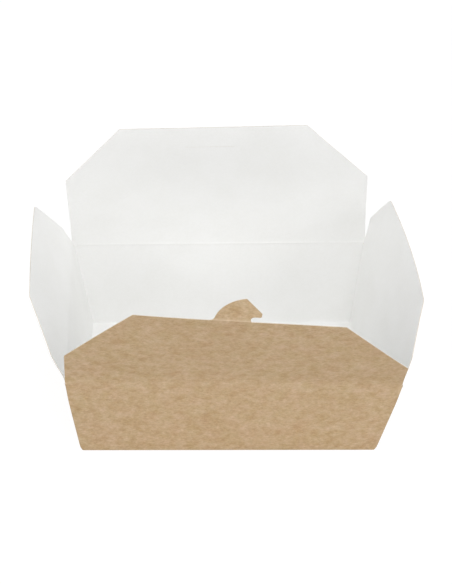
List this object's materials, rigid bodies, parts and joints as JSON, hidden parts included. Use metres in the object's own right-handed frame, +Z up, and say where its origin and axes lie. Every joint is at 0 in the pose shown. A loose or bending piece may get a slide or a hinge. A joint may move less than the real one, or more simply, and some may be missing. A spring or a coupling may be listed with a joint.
{
  "type": "takeaway box",
  "caption": "Folded kraft takeaway box with a flared tray, closing flaps on every side and a hooked tab that locks into a slit.",
  "frame": {"origin": "middle of the base's underside, where the box stands", "axes": "+X to the right along the long walls, +Y to the rear flap with the slit, +Z up"},
  "size_m": [0.2472, 0.1882, 0.1657],
  "materials": {
    "kraft_board": "matte"
  },
  "bodies": {
    "tray": {"tray": "kraft_board"},
    "front_flap": {"front_flap": "kraft_board"},
    "lock_tab": {"lock_tab": "kraft_board"},
    "rear_flap": {"rear_flap": "kraft_board"},
    "left_flap": {"left_flap": "kraft_board"},
    "right_flap": {"right_flap": "kraft_board"}
  },
  "joints": [
    {"name": "front_flap_fold", "type": "hinge", "parent": "tray", "child": "front_flap", "pos_m": [0, -0.08008, 0.0655], "axis": [-1, 0, 0], "range_deg": [-69.7, 110.3]},
    {"name": "lock_tab_fold", "type": "hinge", "parent": "front_flap", "child": "lock_tab", "pos_m": [0, -0.1061, 0.13584], "axis": [-1, 0, 0], "range_deg": [-15, 75]},
    {"name": "rear_flap_fold", "type": "hinge", "parent": "tray", "child": "rear_flap", "pos_m": [0, 0.07998, 0.06485], "axis": [1, 0, 0], "range_deg": [-93, 87]},
    {"name": "left_flap_fold", "type": "hinge", "parent": "tray", "child": "left_flap", "pos_m": [-0.10738, 0, 0.0642], "axis": [0, 1, 0], "range_deg": [-66.5, 113.5]},
    {"name": "right_flap_fold", "type": "hinge", "parent": "tray", "child": "right_flap", "pos_m": [0.10738, 0, 0.0642], "axis": [0, -1, 0], "range_deg": [-77.4, 102.6]}
  ]
}
